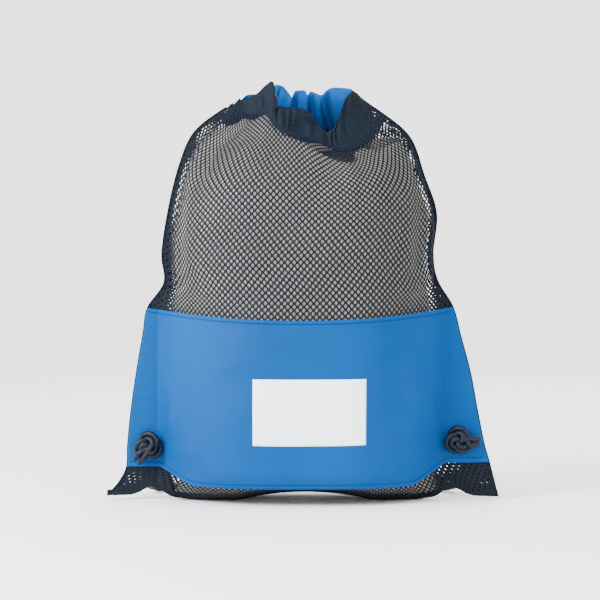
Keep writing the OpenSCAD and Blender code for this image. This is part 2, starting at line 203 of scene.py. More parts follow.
# ---------------------------------------------------------------- mesh helpers
def mesh_object(name, points, faces, material, uv=None, smooth_shade=True):
    mesh = bpy.data.meshes.new(name)
    corners = np.asarray(points, float).reshape(-1, 3).tolist()
    mesh.from_pydata(corners, [], [tuple(map(int, f)) for f in faces])
    if uv is not None:
        layer = mesh.uv_layers.new(name="cloth")
        corner = np.empty(len(mesh.loops), np.int32)
        mesh.loops.foreach_get("vertex_index", corner)
        layer.data.foreach_set("uv", np.asarray(uv, float).reshape(-1, 2)[corner].ravel())
    mesh.polygons.foreach_set("use_smooth", [smooth_shade] * len(mesh.polygons))
    mesh.materials.append(material)
    mesh.validate()
    obj = bpy.data.objects.new(name, mesh)
    bpy.context.scene.collection.objects.link(obj)
    return obj


def grid_faces(rows, columns, flip=False, start=0, wrap=False):
    """Quads over a grid of points. wrap joins the last column to the first."""
    last = columns if wrap else columns - 1
    j, i = np.meshgrid(np.arange(rows - 1), np.arange(last), indexing="ij")
    a = start + j * columns + i
    b = start + j * columns + (i + 1) % columns
    f = np.stack([a, b, b + columns, a + columns], -1).reshape(-1, 4)
    return f[:, ::-1] if flip else f


def rim_loop(rows, columns):
    return np.concatenate([
        np.arange(columns),
        np.arange(1, rows) * columns + columns - 1,
        (rows - 1) * columns + np.arange(columns - 2, -1, -1),
        np.arange(rows - 2, 0, -1) * columns,
    ])


def thick_sheet(outer, inner, flip=False):
    """Points and faces of a closed sheet with these two faces, each a grid of points."""
    rows, columns = outer.shape[:2]
    n = rows * columns
    loop = rim_loop(rows, columns)
    after = np.roll(loop, -1)
    edge = np.stack([loop, loop + n, after + n, after], -1)
    faces = np.concatenate([
        grid_faces(rows, columns, flip),
        grid_faces(rows, columns, not flip, start=n),
        edge[:, ::-1] if flip else edge,
    ])
    return np.concatenate([outer.reshape(-1, 3), inner.reshape(-1, 3)]), faces


def sheet_uv(grid):
    """Flat coordinates for a grid of points: its distance along each way, in metres."""
    step_u = np.linalg.norm(np.diff(grid, axis=1), axis=-1).mean(0)
    step_v = np.linalg.norm(np.diff(grid, axis=0), axis=-1).mean(1)
    s = np.concatenate([[0], np.cumsum(step_u)])
    t = np.concatenate([[0], np.cumsum(step_v)])
    return np.stack(np.meshgrid(s, t), -1)


def catmull(points, samples):
    """Points along a smooth curve through these points."""
    p = np.asarray(points, float)
    p = np.vstack([2 * p[0] - p[1], p, 2 * p[-1] - p[-2]])
    w = np.linspace(0, len(points) - 1, samples)
    i = np.clip(np.floor(w).astype(int), 0, len(points) - 2)
    t = (w - i)[:, None]
    a, b, c, d = p[i], p[i + 1], p[i + 2], p[i + 3]
    return 0.5 * (2 * b + t * ((c - a) + t * ((2 * a - 5 * b + 4 * c - d) + t * (3 * b - a - 3 * c + d))))


def evenly(line, step):
    """The same line with its points a step apart."""
    line = np.asarray(line, float)
    along = np.concatenate([[0], np.cumsum(np.linalg.norm(np.diff(line, axis=0), axis=1))])
    at = np.linspace(0, along[-1], max(2, int(round(along[-1] / step)) + 1))
    return np.stack([np.interp(at, along, line[:, k]) for k in range(3)], -1)


def line_length(line):
    return float(np.linalg.norm(np.diff(line, axis=0), axis=1).sum())


def turning_frames(line):
    """Two directions across a line at each point, with no sudden twist."""
    ahead = unit(np.gradient(line, axis=0))
    across = np.empty_like(line)
    first = np.cross(ahead[0], [0.3, 0.2, 1])
    across[0] = first / np.linalg.norm(first)
    for i in range(1, len(line)):
        a = across[i - 1] - ahead[i] * np.dot(across[i - 1], ahead[i])
        across[i] = a / np.linalg.norm(a)
    return across, np.cross(ahead, across)


def braided_tube(line, radius, sides=16, round_start=False, round_end=False):
    """A round cord with its crossing strands raised, along a line of evenly spaced points."""
    across, other = turning_frames(line)
    along = np.concatenate([[0], np.cumsum(np.linalg.norm(np.diff(line, axis=0), axis=1))])
    turn = np.arange(sides) / sides * TAU
    pitch = radius * 4.2
    phase = along[:, None] / pitch * TAU
    left = np.cos(4 * turn[None] + phase)
    right = np.cos(4 * turn[None] - phase)
    r = radius * (0.95 + 0.045 * np.maximum(left, right))
    ends = np.ones(len(line))
    tip = 1.6 * radius
    if round_start:
        ends *= np.sqrt(np.clip(1 - np.clip(1 - along / tip, 0, 1) ** 2, 0.02, 1))
    if round_end:
        ends *= np.sqrt(np.clip(1 - np.clip(1 - (along[-1] - along) / tip, 0, 1) ** 2, 0.02, 1))
    r = r * ends[:, None]
    rings = (line[:, None] + r[..., None] * (
        np.cos(turn)[None, :, None] * across[:, None] + np.sin(turn)[None, :, None] * other[:, None]))
    n = len(line)
    points = np.concatenate([rings.reshape(-1, 3), line[:1], line[-1:]])
    faces = list(map(tuple, grid_faces(n, sides, wrap=True)))
    for k in range(sides):
        m = (k + 1) % sides
        faces.append((n * sides, m, k))
        faces.append((n * sides + 1, (n - 1) * sides + k, (n - 1) * sides + m))
    return points, faces


def joined(parts):
    """Several (points, faces) as one."""
    points, faces, n = [], [], 0
    for p, f in parts:
        points.append(np.asarray(p, float).reshape(-1, 3))
        faces += [tuple(int(x) + n for x in face) for face in f]
        n += len(points[-1])
    return np.concatenate(points), faces


# ---------------------------------------------------------------- materials
class Nodes:
    """A short way to build a material's nodes."""

    def __init__(self, name):
        self.material = bpy.data.materials.new(name)
        self.material.use_nodes = True
        self.tree = self.material.node_tree
        self.shader = self.tree.nodes["Principled BSDF"]

    def add(self, kind, settings=(), **inputs):
        node = self.tree.nodes.new(kind)
        for key, value in dict(settings).items():
            setattr(node, key, value)
        for key, value in inputs.items():
            self.put(node, key.replace("_", " "), value)
        return node

    def put(self, node, key, value):
        socket = node.inputs[int(key)] if key.isdigit() else node.inputs[key]
        if isinstance(value, bpy.types.NodeSocket):
            self.tree.links.new(value, socket)
        else:
            socket.default_value = value

    def set(self, **inputs):
        for key, value in inputs.items():
            self.put(self.shader, key.replace("_", " "), value)

    def math(self, operation, a, b=0.0):
        node = self.add("ShaderNodeMath", {"operation": operation})
        self.put(node, "0", a)
        self.put(node, "1", b)
        return node.outputs[0]

    def noise(self, vector, scale, detail=3.0, rough=0.55):
        node = self.add("ShaderNodeTexNoise", Vector=vector, Scale=scale, Detail=detail, Roughness=rough)
        return node.outputs["Fac"]

    def ramp(self, value, stops):
        node = self.add("ShaderNodeValToRGB")
        self.put(node, "Fac", value)
        elements = node.color_ramp.elements
        while len(elements) < len(stops):
            elements.new(0.5)
        for element, (at, colour) in zip(elements, stops):
            element.position = at
            element.color = (*colour, 1)
        return node.outputs["Color"]

    def range(self, value, low, high):
        node = self.add("ShaderNodeMapRange")
        self.put(node, "Value", value)
        self.put(node, "To Min", low)
        self.put(node, "To Max", high)
        return node.outputs["Result"]

    def bump(self, height, distance, strength=1.0, normal=None):
        node = self.add("ShaderNodeBump", Strength=strength, Distance=distance)
        self.put(node, "Height", height)
        if normal is not None:
            self.put(node, "Normal", normal)
        return node.outputs["Normal"]


def scaled(colour, k):
    return tuple(min(1.0, c * k) for c in colour)


def woven(name, colour, thread, rough, sheen, uses_uv=True, spread=0.12, bump=0.5, shine=0.05):
    """Plain-woven cloth: two sets of crossing threads, with uneven colour and wear."""
    n = Nodes(name)
    place = n.add("ShaderNodeTexCoord").outputs["Object"]
    if uses_uv:
        flat = n.add("ShaderNodeUVMap", {"uv_map": "cloth"}).outputs["UV"]
    else:
        flat = place
    parts = n.add("ShaderNodeSeparateXYZ")
    n.put(parts, "Vector", flat)
    turns = np.pi / thread
    second = parts.outputs["Y"] if uses_uv else parts.outputs["Z"]
    warp = n.math("SINE", n.math("MULTIPLY", parts.outputs["X"], turns))
    weft = n.math("SINE", n.math("MULTIPLY", second, turns))
    weave = n.math("MULTIPLY", warp, weft)
    wide = n.noise(place, 9.0, 2.0)
    fine = n.noise(place, 900.0, 2.0)
    tone = n.math("ADD", n.math("MULTIPLY", wide, 0.8), n.math("MULTIPLY", fine, 0.2))
    n.set(
        Base_Color=n.ramp(tone, [(0.3, scaled(colour, 1 - spread)), (0.7, scaled(colour, 1 + spread))]),
        Roughness=n.range(n.noise(place, 60.0), rough - 0.08, rough + 0.08),
        Specular_IOR_Level=shine,
        Sheen_Weight=sheen,
        Sheen_Tint=(*scaled(colour, 3.0), 1),
        Sheen_Roughness=0.4,
    )
    cloth_bump = n.bump(weave, thread * 0.25, bump)
    n.set(Normal=n.bump(n.noise(place, 240.0, 4.0), 0.00025, 0.6, cloth_bump))
    return n.material


def net_thread(name, colour):
    """Knitted net yarn: fine ribs along it, and a colour that varies at random."""
    n = Nodes(name)
    place = n.add("ShaderNodeTexCoord").outputs["Object"]
    tone = n.noise(place, 420.0, 3.0)
    n.set(
        Base_Color=n.ramp(tone, [(0.3, scaled(colour, 0.75)), (0.75, scaled(colour, 1.35))]),
        Roughness=n.range(n.noise(place, 150.0), 0.5, 0.72),
        Specular_IOR_Level=0.08,
        Sheen_Weight=0.1,
        Sheen_Tint=(*scaled(colour, 4.0), 1),
        Sheen_Roughness=0.4,
        Normal=n.bump(n.noise(place, 2600.0, 3.0), 0.00018, 0.8),
    )
    return n.material


def cord_cover(name, colour):
    """Shiny braided cord: its raised strands are in the mesh, and its fibres are here."""
    n = Nodes(name)
    place = n.add("ShaderNodeTexCoord").outputs["Object"]
    tone = n.noise(place, 700.0, 3.0)
    n.set(
        Base_Color=n.ramp(tone, [(0.3, scaled(colour, 0.7)), (0.72, scaled(colour, 1.5))]),
        Roughness=n.range(n.noise(place, 300.0), 0.3, 0.5),
        Specular_IOR_Level=0.15,
        Sheen_Weight=0.1,
        Sheen_Tint=(*scaled(colour, 4.0), 1),
        Sheen_Roughness=0.35,
        Normal=n.bump(n.noise(place, 3200.0, 3.0), 0.0002, 0.7),
    )
    return n.material


def crumpled_paper(name, colour):
    n = Nodes(name)
    place = n.add("ShaderNodeTexCoord").outputs["Object"]
    cells = n.add("ShaderNodeTexVoronoi", {"feature": "DISTANCE_TO_EDGE"}, Vector=place, Scale=26.0)
    creases = n.math("MINIMUM", cells.outputs["Distance"], 0.12)
    broad = n.math("MULTIPLY", n.noise(place, 7.0), 0.7)
    fine = n.math("MULTIPLY", n.noise(place, 90.0), 0.3)
    tone = n.math("ADD", broad, fine)
    n.set(
        Base_Color=n.ramp(tone, [(0.32, scaled(colour, 0.86)), (0.68, scaled(colour, 1.08))]),
        Roughness=n.range(n.noise(place, 50.0), 0.75, 0.95),
        Normal=n.bump(creases, 0.004, 0.35, n.bump(n.noise(place, 120.0, 5.0), 0.0012, 0.5)),
    )
    return n.material


def painted_metal(name, colour):
    n = Nodes(name)
    place = n.add("ShaderNodeTexCoord").outputs["Object"]
    wear = n.noise(place, 500.0, 4.0)
    n.set(
        Base_Color=n.ramp(wear, [(0.35, colour), (0.8, scaled(colour, 2.2))]),
        Metallic=0.85,
        Roughness=n.range(n.noise(place, 200.0), 0.28, 0.5),
        Normal=n.bump(n.noise(place, 900.0), 0.0001, 0.4),
    )
    return n.material


BLUE = (0.0, 0.047, 0.185)
NAVY = (0.0042, 0.0068, 0.0115)
band_cloth = woven("band_cloth", BLUE, 0.00045, 0.5, 0.15)
lining_cloth = woven("lining_cloth", BLUE, 0.00045, 0.5, 0.15)
label_cloth = woven("label_cloth", (0.80, 0.93, 0.91), 0.0004, 0.62, 0.05, spread=0.03, bump=0.3)
seam_cloth = woven("seam_cloth", NAVY, 0.0005, 0.68, 0.3, uses_uv=False)
net_yarn = net_thread("net_yarn", NAVY)
casing_yarn = net_thread("casing_yarn", (0.0028, 0.0062, 0.0122))
cord_braid = cord_cover("cord_braid", (0.0033, 0.0058, 0.0125))
fill_paper = crumpled_paper("fill_paper", (0.325, 0.302, 0.262))
eyelet_metal = painted_metal("eyelet_metal", (0.02, 0.024, 0.034))
blue_thread = woven("blue_thread", scaled(BLUE, 0.62), 0.0003, 0.45, 0.2, uses_uv=False)
navy_thread = woven("navy_thread", scaled(NAVY, 1.5), 0.0003, 0.5, 0.2, uses_uv=False)

# ---------------------------------------------------------------- camera
CAMERA_DISTANCE = 1.9
VIEW_WIDTH = 0.54
VIEW_MIDDLE = np.array([-0.0022, 0.0, 0.18])
CAMERA_RAISED = np.radians(1.0)
camera_data = bpy.data.cameras.new("camera")
camera_data.sensor_width = 36
camera_data.lens = 36 * CAMERA_DISTANCE / VIEW_WIDTH
camera = bpy.data.objects.new("camera", camera_data)
camera.location = VIEW_MIDDLE + CAMERA_DISTANCE * np.array([0, -np.cos(CAMERA_RAISED), np.sin(CAMERA_RAISED)])
camera.rotation_euler = (np.pi / 2 - CAMERA_RAISED, 0, 0)
bpy.context.scene.collection.objects.link(camera)
bpy.context.scene.camera = camera

# ---------------------------------------------------------------- shoulder cords
CORD_D = 5 * MM
STRAND_GAP = 5.2 * MM
EYELET = {"left": np.array([-0.138, 0, 0.049]), "right": np.array([0.14, 0, 0.054])}
ROUTES = {
    "left_cord_outer": [
        [-58, 13, 357], [-61, 20, 354], [-64, 30, 344], [-65, 44, 323], [-63, 55, 292], [-60, 62, 250],
        [-58, 63, 205], [-57, 67, 160], [-57, 70, 115], [-58, 72, 75], [-62, 75, 38], [-70, 80, 14],
        [-84, 86, 4], [-102, 86, 3], [-121, 75, 3], [-136, 54, 5], [-143, 33, 18], [-142, 17, 37]],
    "left_cord_inner": [
        [-51, 15, 361], [-53, 22, 359], [-56, 34, 348], [-56, 48, 325], [-54, 58, 292], [-51, 65, 250],
        [-49, 66, 205], [-48, 70, 160], [-48, 72, 115], [-49, 74, 75], [-53, 77, 38], [-61, 84, 13],
        [-78, 93, 4], [-102, 94, 3], [-125, 84, 3], [-142, 60, 6], [-145, 39, 25], [-139, 22, 42]],
    "right_cord_outer": [
        [57, 13, 357], [60, 20, 354], [63, 30, 344], [64, 44, 323], [62, 55, 292], [59, 62, 250],
        [57, 63, 205], [56, 67, 160], [56, 70, 115], [57, 72, 75], [61, 75, 38], [69, 80, 14],
        [83, 86, 4], [102, 86, 3], [122, 75, 3], [138, 54, 6], [147, 33, 21], [146, 18, 42]],
    "right_cord_inner": [
        [50, 15, 361], [52, 22, 359], [55, 34, 348], [55, 48, 325], [53, 58, 292], [50, 65, 250],
        [48, 66, 205], [47, 70, 160], [47, 72, 115], [48, 74, 75], [52, 77, 38], [60, 84, 13],
        [77, 93, 4], [102, 94, 3], [126, 84, 3], [144, 60, 7], [148, 39, 28], [140, 23, 48]],
}
STRAND_END = 3.3 * MM
cord_lines = {}
for cord_name, route in ROUTES.items():
    hand = cord_name.split("_")[0]
    outer_side = (-1 if hand == "left" else 1) * (1 if "outer" in cord_name else -1)
    hole = EYELET[hand] + [outer_side * STRAND_GAP / 2, 0, 0]
    last = [hole + [0, 11 * MM, 0], hole + [0, STRAND_END, 0]]
    smooth_line = catmull(np.vstack([np.array(route) * MM, last]), 400)
    cord_lines[cord_name] = evenly(smooth_line, 0.9 * MM)[6 if "inner" in cord_name else 2:]
cords = {}
for cord_name, line in cord_lines.items():
    points, faces = braided_tube(line, CORD_D / 2, sides=16)
    obj = mesh_object("strap_" + cord_name, points, faces, cord_braid)
    hand = cord_name.split("_")[0]
    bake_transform(obj)
    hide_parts(cord_name)
    cords[cord_name] = obj


# ---------------------------------------------------------------- knots
def knot_strand(middle, shift, tail_turn, tail_shift, hole_shift, tail_length):
    """One strand of the stopper knot: through the hole, round three crossings, and out."""
    t = np.radians(np.linspace(40, 395, 46)) if shift < 0 else np.radians(np.linspace(36, 390, 46))
    ring, wave = 6.3 * MM, 2.9 * MM
    r = ring + wave * np.cos(3 * t) + shift * 0.9
    x = r * np.sin(2 * t)
    z = r * np.cos(2 * t)
    y = -wave * np.sin(3 * t) + shift * 0.55
    loop = middle + np.stack([x, y, z], -1)
    stub = middle + np.array([[hole_shift, 13.6 * MM, 0], [hole_shift, 11 * MM, 0], [hole_shift, 7 * MM, 0]])
    a = np.radians(tail_turn)
    way = np.array([np.sin(a), 0, np.cos(a)])
    side = np.array([np.cos(a), 0, -np.sin(a)])
    reach = np.array([9, 13, 17, 17 + tail_length / MM]) * MM
    drop = np.array([-3.5, -1.5, 1.0, 2.0]) * MM
    tail = middle + way * reach[:, None] + side * tail_shift + np.stack([0 * drop, drop, 0 * drop], -1)
    return evenly(catmull(np.vstack([stub, loop, tail]), 500), 0.55 * MM)


KNOT_BACK = -(2 * MM + 0.9 * MM + 0.3 * MM + 0.8 * MM)
TAIL = {"left": (218, 1.0 * MM), "right": (92, 3.5 * MM)}
for hand, (tail_turn, tail_length) in TAIL.items():
    middle = EYELET[hand] + [0, KNOT_BACK - 7.2 * MM, 0]
    strands = []
    for k in (-1, 1):
        line = knot_strand(middle, k * 2.4 * MM, tail_turn, k * 2.7 * MM, k * STRAND_GAP / 2, tail_length)
        strands.append(braided_tube(line, CORD_D / 2 * 0.98, sides=14, round_end=True))
    points, faces = joined(strands)
    obj = mesh_object(hand + "_stopper_knot", points, faces, cord_braid)
    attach(obj, "bag")
    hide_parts(hand + "_knot")

for cord_name, obj in cords.items():
    line = cord_lines[cord_name]
    hand = cord_name.split("_")[0]


# ---------------------------------------------------------------- eyelets
def turned(profile, place, sides=48):
    """A ring turned about the Y axis at a place, from a closed profile of (radius, y)."""
    p = np.asarray(profile, float)
    a = np.arange(sides) / sides * TAU
    ring = np.stack([
        p[:, 0][None] * np.cos(a)[:, None],
        np.broadcast_to(p[:, 1][None], (sides, len(p))),
        p[:, 0][None] * np.sin(a)[:, None],
    ], -1) + place
    count = len(p)
    faces = []
    for i in range(sides):
        for k in range(count):
            a0, a1 = i * count + k, i * count + (k + 1) % count
            b0, b1 = ((i + 1) % sides) * count + k, ((i + 1) % sides) * count + (k + 1) % count
            faces.append((a0, a1, b1, b0))
    return ring.reshape(-1, 3), faces


def rounded_flange(bore, outer, low, high):
    """A flange's profile with a crowned outer face and a rolled rim."""
    w = np.linspace(0, np.pi, 9)
    middle, half = (bore + outer) / 2, (outer - bore) / 2
    top = [(middle + half * np.cos(a), low + (high - low) * np.sin(a) ** 0.6) for a in w]
    return top + [(bore, low), (outer, low)]


for hand, place in EYELET.items():
    face = 3.2 * MM
    front = rounded_flange(5.5 * MM, 10 * MM, -face, -face - 1.0 * MM)
    barrel = [(5.5 * MM, -face), (6.2 * MM, -face), (6.2 * MM, 3.1 * MM), (5.5 * MM, 3.1 * MM)]
    points, faces = joined([turned(front, place), turned(barrel, place)])
    obj = mesh_object(hand + "_eyelet_ring", points, faces, eyelet_metal)
    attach(obj, "bag")
    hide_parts(hand + "_eyelet")
    washer = rounded_flange(6.3 * MM, 10 * MM, 2.3 * MM, 3.2 * MM)
    points, faces = turned(washer, place)
    obj = mesh_object(hand + "_eyelet_back_ring", points, faces, eyelet_metal)
    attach(obj, "bag")
    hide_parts(hand + "_eyelet_washer")


def follow_rim(obj):
    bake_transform(obj)


# ---------------------------------------------------------------- net
NET_HALF_W = 2.8 * MM
NET_HALF_H = 3.0 * MM
REFERENCE_ROW = 7.0
CELL_RING = np.array([[2, 0], [1, 1], [0, 2], [-1, 1], [-2, 0], [-1, -1], [0, -2], [1, -1]])
RING_NEXT = [1, 2, 3, 4, 5, 6, 7, 0]
OPEN_SHARE = np.array([0.5, 0.66, 0.6, 0.66] * 2)
SLANT = {FRONT: 0.0, BACK: 0.035}


def net_top(u, side):
    """Where the net meets the casing: the front's is higher on the left, the back's dips."""
    u = np.asarray(u, float)
    if side == FRONT:
        return NET_HIGH + 0.95 * bell(u, -0.72, 0.4) - 0.1
    return NET_HIGH - 0.1 - 0.45 * bell(u, 0.3, 0.5)


TOP_ROW = 13.6
MAP_ROWS, MAP_COLUMNS = 205, 241


def grid_sample(table, a, b):
    """Values of a table at fractional rows a and columns b."""
    rows, columns = table.shape
    a = np.clip(a, 0, rows - 1.001)
    b = np.clip(b, 0, columns - 1.001)
    i, j = a.astype(int), b.astype(int)
    p, q = a - i, b - j
    low = table[i, j] * (1 - q) + table[i, j + 1] * q
    high = table[i + 1, j] * (1 - q) + table[i + 1, j + 1] * q
    return low * (1 - p) + high * p


def cloth_map(side):
    """Where a flat net's threads come to lie: from distances on the cloth to u and v."""
    w = np.linspace(-1, 1, MAP_COLUMNS)
    u = np.sin(w * TAU / 4)
    v = np.linspace(0, TOP_ROW, MAP_ROWS)
    p = skin(u[None], v[:, None], side, dipped=0)
    across = np.linalg.norm(np.diff(p, axis=1), axis=-1)
    upward = np.linalg.norm(np.diff(p, axis=0), axis=-1)
    s_at = np.concatenate([np.zeros((len(v), 1)), np.cumsum(across, axis=1)], 1)
    s_at = s_at - s_at[:, MAP_COLUMNS // 2][:, None]
    t_at = np.concatenate([np.zeros((1, len(u))), np.cumsum(upward, axis=0)], 0)
    reference = np.full(MAP_COLUMNS, REFERENCE_ROW / TOP_ROW * (MAP_ROWS - 1))
    t_at = t_at - grid_sample(t_at, reference, np.arange(float(MAP_COLUMNS)))[None]
    s_at = s_at / (1 - 0.3 * smooth((v - 10.5) / 2.3))[:, None]
    if side == FRONT:
        # the net is bunched up under the dip in the rim
        t_at = t_at + 17 * MM * bell(u, 0.34, 0.26)[None] * smooth((v - 9.6) / 3.2)[:, None]
    s_step = np.gradient(s_at, w, axis=1)
    t_step = np.gradient(t_at, v, axis=0)

    def find(s, t):
        ww = np.clip(s / 0.25, -1, 1)
        vv = REFERENCE_ROW + t / 0.04
        for _ in range(60):
            a = vv / TOP_ROW * (MAP_ROWS - 1)
            b = (ww + 1) * (MAP_COLUMNS // 2)
            dw = (s - grid_sample(s_at, a, b)) / np.maximum(grid_sample(s_step, a, b), 0.03)
            dv = (t - grid_sample(t_at, a, b)) / grid_sample(t_step, a, b)
            ww = np.clip(ww + 0.5 * np.clip(dw, -0.1, 0.1), -1.2, 1.2)
            vv = np.clip(vv + 0.5 * np.clip(dv, -2, 2), -0.6, 14.2)
        return np.where(np.abs(ww) < 1, np.sin(ww * TAU / 4), ww), vv

    return find


def ring_net(i, j, place, share):
    """Cells at (i, j), each a ring of eight quads round an open hole."""
    centres = np.stack([2 * i, 2 * j], -1)
    nodes, index = np.unique((centres[:, None] + CELL_RING[None]).reshape(-1, 2), axis=0, return_inverse=True)
    index = index.reshape(-1, 8)
    open_ring = CELL_RING[None] * (OPEN_SHARE[None, :] * share[:, None])[..., None]
    holes = (centres[:, None] + open_ring).reshape(-1, 2)
    crown = np.where(nodes[:, 0] % 2 == centres[0, 0] % 2, 0.3 * MM, 0.1 * MM)
    lifts = np.concatenate([crown, np.full(len(holes), -0.3 * MM)])
    points = place(np.concatenate([nodes, holes]) / 2, lifts)
    inner = len(nodes) + np.arange(len(i) * 8).reshape(-1, 8)
    quads = np.stack([index, index[:, RING_NEXT], inner[:, RING_NEXT], inner], -1)
    return points, quads.reshape(-1, 4)


def net_mesh(side, low, high, skip, lift):
    """The net from one row to another, left out between the rows in skip."""
    find = cloth_map(side)
    i, j = np.meshgrid(np.arange(-84, 85), np.arange(-90, 90))
    keep = (i + j) % 2 == (0 if side == FRONT else 1)
    i, j = i[keep], j[keep]
    slant = SLANT[side]
    u, v = find((i + slant * j) * NET_HALF_W, j * NET_HALF_H)
    # a cell is kept if the point 1 mm further out is still on the bag
    outer_u = find((i + slant * j) * NET_HALF_W + np.sign(i) * MM, j * NET_HALF_H)[0]
    inside = (np.abs(outer_u) < 1) & (v > low) & (v < np.minimum(high, net_top(u, side)) + 0.05)
    inside &= ~((v > skip[0]) & (v < skip[1]))
    i, j = i[inside], j[inside]

    def place(nodes, lifts):
        uu, vv = find((nodes[:, 0] + slant * nodes[:, 1]) * NET_HALF_W, nodes[:, 1] * NET_HALF_H)
        return cloth(np.clip(uu, -1, 1), np.clip(vv, 0, TOP_ROW), side, lifts + lift)

    # where the front and the back lie together, the doubled net is pulled close
    centre = cloth(np.clip(u[inside], -1, 1), np.clip(v[inside], 0, TOP_ROW), side, 0)
    half = row_at(np.clip(v[inside], 0, TOP_ROW))[:, 4] * MM
    flat_part = smooth((np.abs(centre[:, 0]) - half + 5 * MM) / (9 * MM))
    closeness = np.where(centre[:, 0] < 0, 0.5, 0.4)
    points, quads = ring_net(i, j, place, 1 - closeness * flat_part)
    return points, quads[:, ::-1] if side == BACK else quads


# the thread in one cell of the flat net: the cell less its hole
for side, skip, node, name in (
    (FRONT, (2.3, 6.7), "front_mesh_panel", "front_net"),
    (BACK, (0, 0), "back_mesh_panel", "back_net"),
):
    points, quads = net_mesh(side, 0.05, 14, skip, -0.4 * MM)
    obj = mesh_object(name, points, quads, net_yarn)
    follow_rim(obj)
    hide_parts(node)


# ---------------------------------------------------------------- filling
def paper_points(side):
    """The paper's face: inside the net, crumpled, and turned in at the top."""
    u = np.linspace(-1, 1, 150)
    lip = np.array([1.0, 2.5, 5.0, 8.0, 11.0]) * MM
    top = net_top(u, side) - (0.7 * bell(u, 0.42, 0.3) if side == FRONT else 0)
    vv = 0.45 + (top - 0.45)[None] * np.linspace(0, 1, 170)[:, None]
    row = row_at(vv)
    half = row[..., 4] / ((row[..., 2] - row[..., 0]) / 2)
    right = 0.965 - 0.22 * smooth((vv - 12.1) / 0.6)
    left = 0.985 - 0.08 * smooth((vv - 12) / 1.2) if side == FRONT else right
    left = left - 0.055 * bell(vv, 7.6, 1.3)
    widest = np.where(u < 0, left, right)
    uu = u[None] * np.minimum(widest, half * 0.985)
    x = skin(uu, vv, side)
    crumple = np.zeros(uu.shape)
    draw = np.random.default_rng(5 + side)
    for _ in range(60):
        cx, cz = draw.uniform(-0.12, 0.12), draw.uniform(0, 0.33)
        a = draw.uniform(0, TAU)
        width, reach = draw.uniform(3, 7) * MM, draw.uniform(15, 45) * MM
        off = (x[..., 0] - cx) * np.sin(a) - (x[..., 2] - cz) * np.cos(a)
        run = (x[..., 0] - cx) * np.cos(a) + (x[..., 2] - cz) * np.sin(a)
        crumple += draw.uniform(-0.9, 0.5) * MM * np.exp(-np.abs(off) / width - (run / reach) ** 2)
    lift = -3.6 * MM + crumple
    face = cloth(uu, vv, side, lift)
    top_u, top_v = uu[-1], vv[-1]
    sink = np.array([0, 0, 0.25])
    rows = [cloth(top_u, top_v, side, lift[-1] - k) - sink * k for k in lip]
    return np.concatenate([face, np.stack(rows)])


for side, name in ((FRONT, "paper_front_wad"), (BACK, "paper_back_wad")):
    outer = paper_points(side)
    normal = np.array([0, side, 0])
    inner = outer - normal * 0.5 * MM
    points, faces = thick_sheet(outer, inner, flip=side == BACK)
    obj = mesh_object(name, points, faces, fill_paper)
    follow_rim(obj)
    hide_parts("paper_liner")


# ---------------------------------------------------------------- band and label
def thick_cloth(name, u, v, side, lift, thickness, material, flip):
    outer = cloth(u[None], v[:, None], side, lift)
    inner = cloth(u[None], v[:, None], side, lift - thickness)
    points, faces = thick_sheet(outer, inner, flip=flip)
    uv = sheet_uv(outer)
    return mesh_object(name, points, faces, material, uv=np.concatenate([uv.reshape(-1, 2)] * 2))


band_u = np.linspace(-1, 1, 200)
band_v = np.unique(np.concatenate([
    np.linspace(BAND_LOW, BAND_LOW + 0.3, 9),
    np.linspace(BAND_LOW + 0.3, BAND_HIGH - 0.25, 90),
    np.linspace(BAND_HIGH - 0.25, BAND_HIGH, 12),
]))
# the hems are folded double: the cloth steps up near both edges and rounds over at them
from_top = BAND_HIGH - band_v
from_bottom = band_v - BAND_LOW
top_hem = 0.45 * MM * (1 - smooth((from_top - 0.13) / 0.05))
bottom_hem = 0.35 * MM * (1 - smooth((from_bottom - 0.2) / 0.08))
stitch_dip = -0.45 * MM * (bell(from_top, 0.16, 0.025) + bell(from_bottom, 0.24, 0.03))
edge_round = -0.5 * MM * (bell(from_top, 0, 0.02) + bell(from_bottom, 0, 0.02))
band_lift = (0.9 * MM + (top_hem + bottom_hem) + stitch_dip + edge_round)[:, None] * np.ones((1, len(band_u)))
band = thick_cloth("front_band_cloth", band_u, band_v, FRONT, band_lift, 0.5 * MM, band_cloth, False)
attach(band, "bag")
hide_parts("front_band")

LABEL_X = np.array([-43, 55]) * MM
LABEL_V = np.array([3.5, 5.0])
label_x = np.linspace(*LABEL_X, 60)[None]
label_v = np.linspace(*LABEL_V, 36)[:, None]
label_row = row_at(label_v[:, 0])[:, None] * MM
label_u = 2 * (label_x - label_row[..., 0]) / (label_row[..., 2] - label_row[..., 0]) - 1
label_v = np.broadcast_to(label_v, label_u.shape)
edge_x = np.minimum(label_x - LABEL_X[0], LABEL_X[1] - label_x)
edge_z = np.minimum(label_v - LABEL_V[0], LABEL_V[1] - label_v) * 38 * MM
edge_d = np.minimum(edge_x, edge_z)
label_lift = 1.25 * MM + 0.15 * MM * bell(edge_d, 1.5 * MM, 0.8 * MM) - 0.2 * MM * bell(edge_d, 0, 0.5 * MM)
label_face = cloth(label_u, label_v, FRONT, label_lift)
points, faces = thick_sheet(label_face, cloth(label_u, label_v, FRONT, label_lift - 0.3 * MM))
label_uv = sheet_uv(label_face).reshape(-1, 2)
label = mesh_object("blank_label", points, faces, label_cloth, uv=np.concatenate([label_uv] * 2))
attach(label, "bag")
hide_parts("label_patch")


